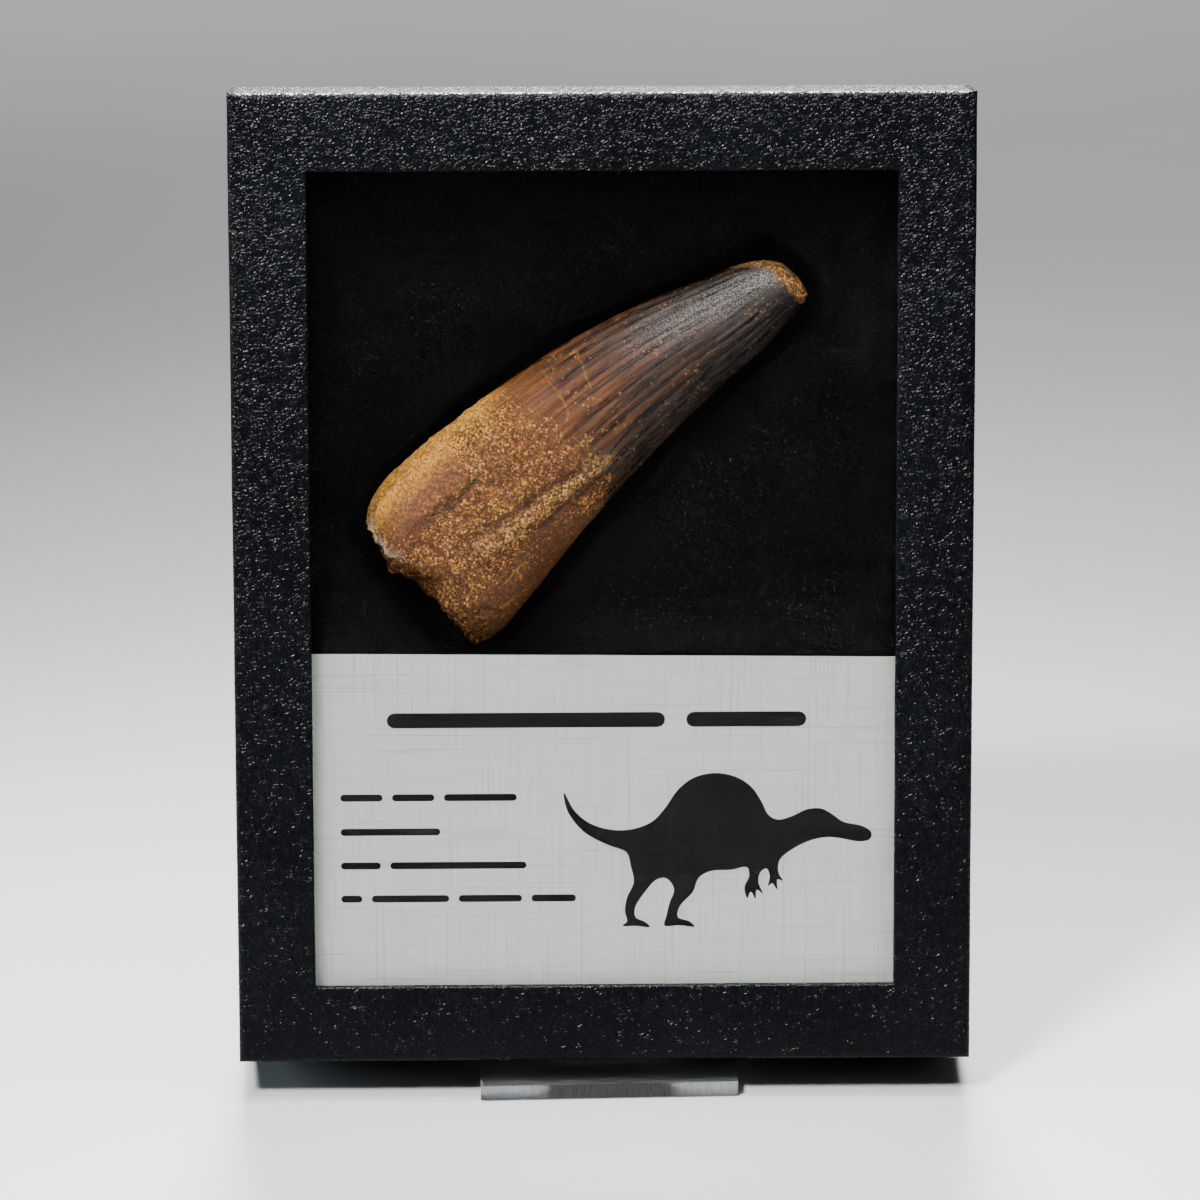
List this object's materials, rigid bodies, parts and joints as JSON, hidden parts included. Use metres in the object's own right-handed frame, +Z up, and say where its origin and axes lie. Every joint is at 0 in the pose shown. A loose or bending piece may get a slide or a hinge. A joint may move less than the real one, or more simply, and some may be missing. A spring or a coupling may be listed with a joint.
{
  "type": "spinosaurus tooth in a display case",
  "caption": "Curved, fluted fossil tooth with a sandy broken root, on black plush in a glazed leatherette case with a plain label card, leaning on a clear bent-sheet easel.",
  "frame": {"origin": "on the table, under the middle of the whole box of the case and its easel", "axes": "+Z up, -Y towards the viewer of the case, +X to that viewer's right; the case leans back 11 degrees"},
  "size_m": [0.156, 0.0938, 0.2102],
  "materials": {
    "clear_acrylic": "clear polished acrylic sheet with saw-cut edges",
    "black_leatherette": "board wrapped in pebble-grained black leatherette paper, semi-gloss",
    "clear_glass": "clear glazing, polished",
    "black_plush": "short-pile black plush over soft padding",
    "pale_card": "linen-textured pale card, matt, with plain black print",
    "fossil_tooth": "glossy brown fluted enamel, worn sandy tip, grainy ochre root"
  },
  "bodies": {
    "root": {"easel": "clear_acrylic", "case_tray": "black_leatherette", "case_lid": "black_leatherette", "window_pane": "clear_glass", "lining_pad": "black_plush", "label_card": "pale_card", "tooth": "fossil_tooth"}
  },
  "joints": []
}
